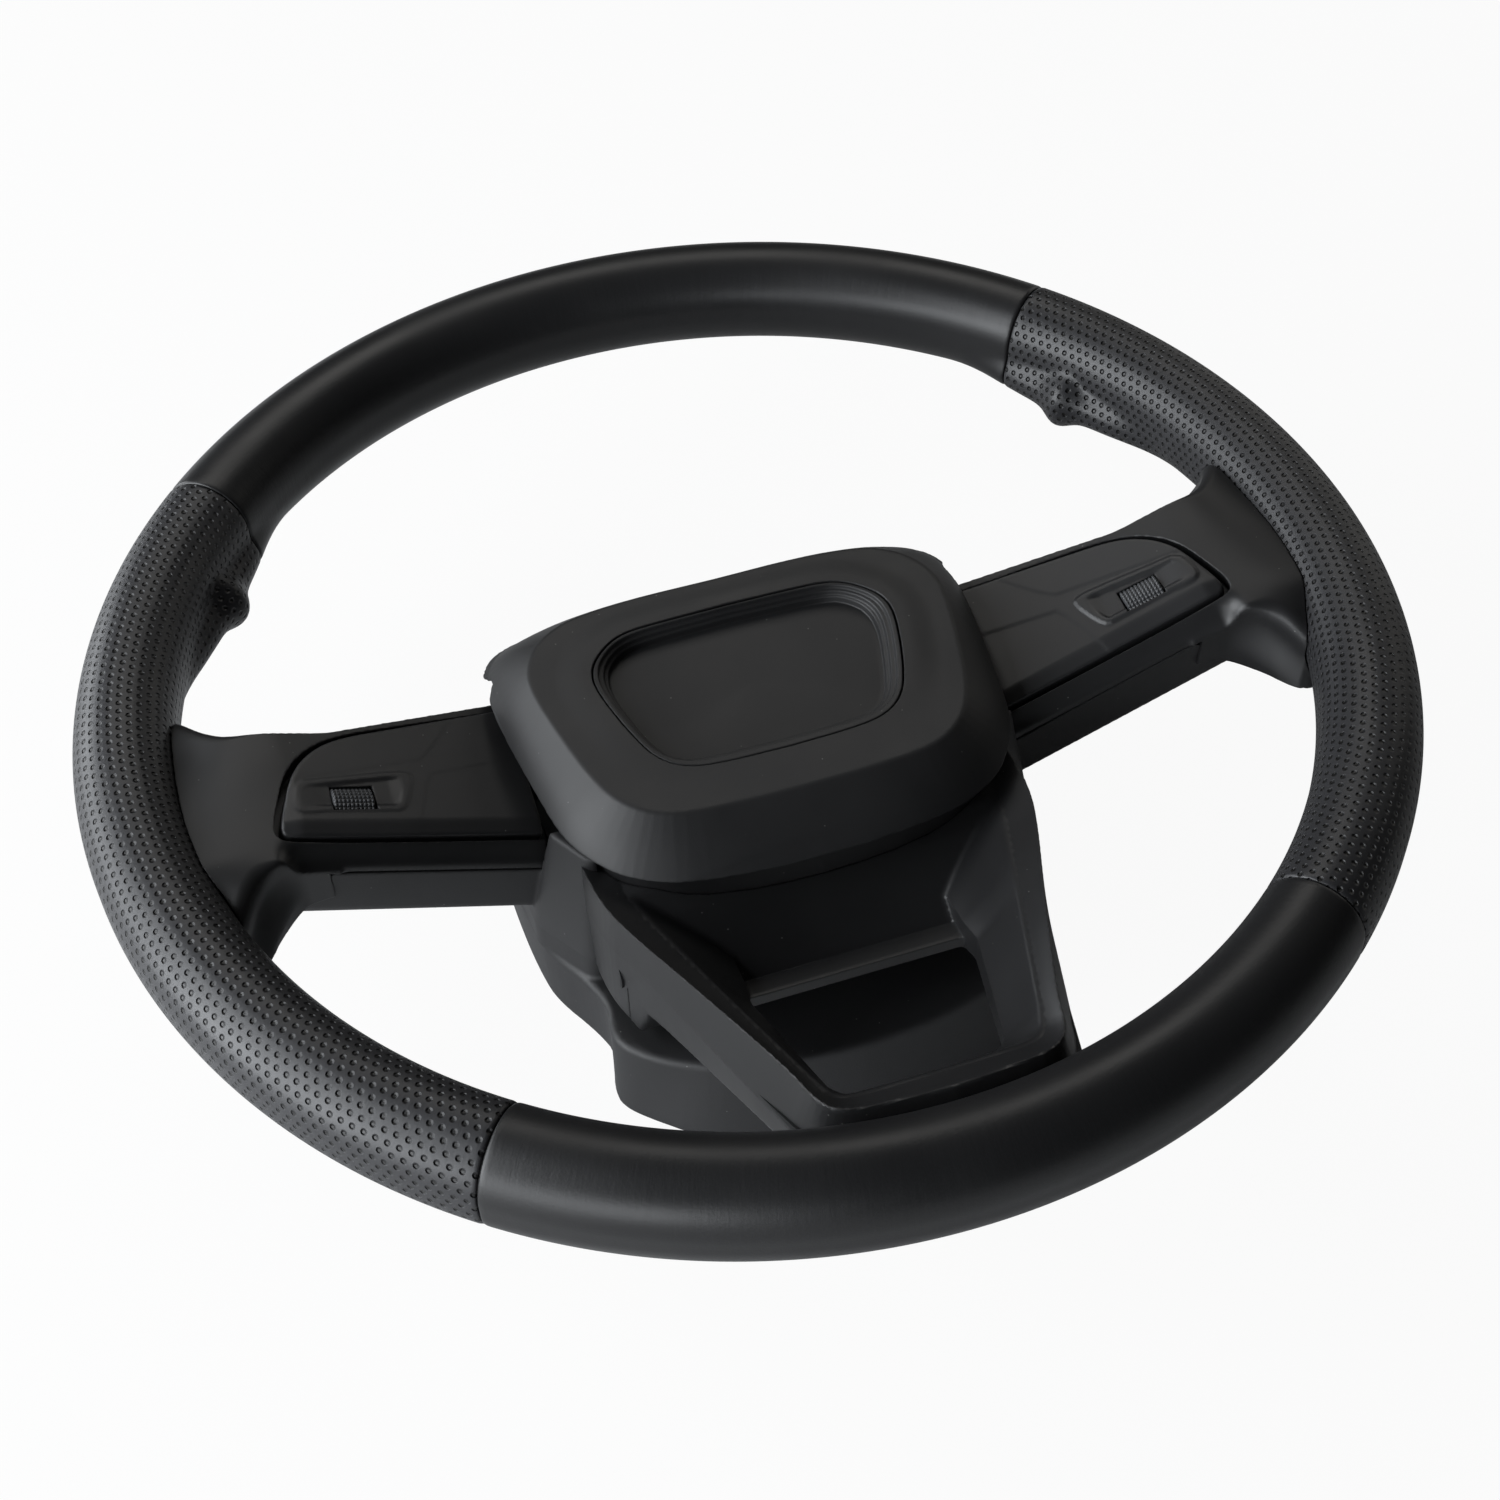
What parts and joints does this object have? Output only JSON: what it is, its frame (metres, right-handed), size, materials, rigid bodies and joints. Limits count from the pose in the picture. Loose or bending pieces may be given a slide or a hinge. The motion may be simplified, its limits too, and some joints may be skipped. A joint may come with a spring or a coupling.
{
  "type": "car steering wheel",
  "caption": "Leather-wrapped car steering wheel with an airbag cover that presses as the horn, tilting switch faces with thumb rollers, an open lower spoke and a deep rear column cover.",
  "frame": {"origin": "on the column axis at the rear mouth of the hub bore", "axes": "+Z along the column axis towards the driver, +Y to the top of the wheel, +X to the driver's right"},
  "size_m": [0.3716, 0.3716, 0.0957],
  "materials": {
    "cast_metal": "die-cast magnesium alloy, matt as cast",
    "foam": "moulded soft foam, black",
    "smooth_leather": "black leather, fine grain, satin",
    "perforated_leather": "black leather with a fine pattern of pierced dimples, satin",
    "bezel_plastic": "black moulded plastic, satin",
    "rear_plastic": "black moulded plastic, matt",
    "cover_plastic": "black soft-touch moulding, fine grain",
    "switch_plastic": "black moulded plastic, fine satin",
    "roller_plastic": "dark grey ribbed plastic",
    "black_steel": "black coated steel",
    "zinc_steel": "zinc plated pressed steel",
    "spring_steel": "spring wire",
    "nylon_fabric": "folded uncoloured nylon cloth",
    "circuit_board": "green circuit board"
  },
  "bodies": {
    "wheel": {"armature": "cast_metal", "rim_foam": "foam", "leather_top": "smooth_leather", "leather_bottom": "smooth_leather", "leather_left": "perforated_leather", "leather_right": "perforated_leather", "bezel_left": "bezel_plastic", "bezel_right": "bezel_plastic", "lower_bezel": "bezel_plastic", "rear_cover": "rear_plastic", "cover_screws": "black_steel", "horn_springs": "spring_steel", "switch_housing_left": "rear_plastic", "switch_housing_right": "rear_plastic", "circuit_board_left": "circuit_board", "circuit_board_right": "circuit_board"},
    "horn_module": {"airbag_cover": "cover_plastic", "retainer_plate": "zinc_steel", "inflator": "zinc_steel", "inflator_nuts": "zinc_steel", "airbag_cushion": "nylon_fabric", "guide_pins": "zinc_steel"},
    "left_face": {"switch_face_left": "switch_plastic"},
    "right_face": {"switch_face_right": "switch_plastic"},
    "left_cradle": {"roller_cradle_left": "rear_plastic"},
    "right_cradle": {"roller_cradle_right": "rear_plastic"},
    "left_roller": {"thumb_roller_left": "roller_plastic"},
    "right_roller": {"thumb_roller_right": "roller_plastic"}
  },
  "joints": [
    {"name": "horn_press", "type": "slide", "parent": "wheel", "child": "horn_module", "axis": [0, 0, -1], "range_m": [0, 0.0025], "stiffness_N_per_m": 8000, "springref_m": -0.003, "deforming": ["horn_springs"]},
    {"name": "left_face_press", "type": "slide", "parent": "wheel", "child": "left_face", "axis": [-0.3583, 0.0767, -0.9305], "range_m": [0, 0.0003], "stiffness_N_per_m": 3000, "springref_m": -0.0003},
    {"name": "right_face_press", "type": "slide", "parent": "wheel", "child": "right_face", "axis": [0.3583, 0.0767, -0.9305], "range_m": [0, 0.0003], "stiffness_N_per_m": 3000, "springref_m": -0.0003},
    {"name": "left_roller_press", "type": "slide", "parent": "wheel", "child": "left_cradle", "axis": [-0.3583, 0.0767, -0.9305], "range_m": [0, 0.0008], "stiffness_N_per_m": 2000, "springref_m": -0.0006},
    {"name": "right_roller_press", "type": "slide", "parent": "wheel", "child": "right_cradle", "axis": [0.3583, 0.0767, -0.9305], "range_m": [0, 0.0008], "stiffness_N_per_m": 2000, "springref_m": -0.0006},
    {"name": "left_roller_spin", "type": "hinge", "parent": "left_cradle", "child": "left_roller", "pos_m": [-0.11674, -0.01401, 0.05991], "axis": [-0.9332, 0, 0.3593], "continuous": true},
    {"name": "right_roller_spin", "type": "hinge", "parent": "right_cradle", "child": "right_roller", "pos_m": [0.11674, -0.01401, 0.05991], "axis": [0.9332, 0, 0.3593], "continuous": true}
  ]
}
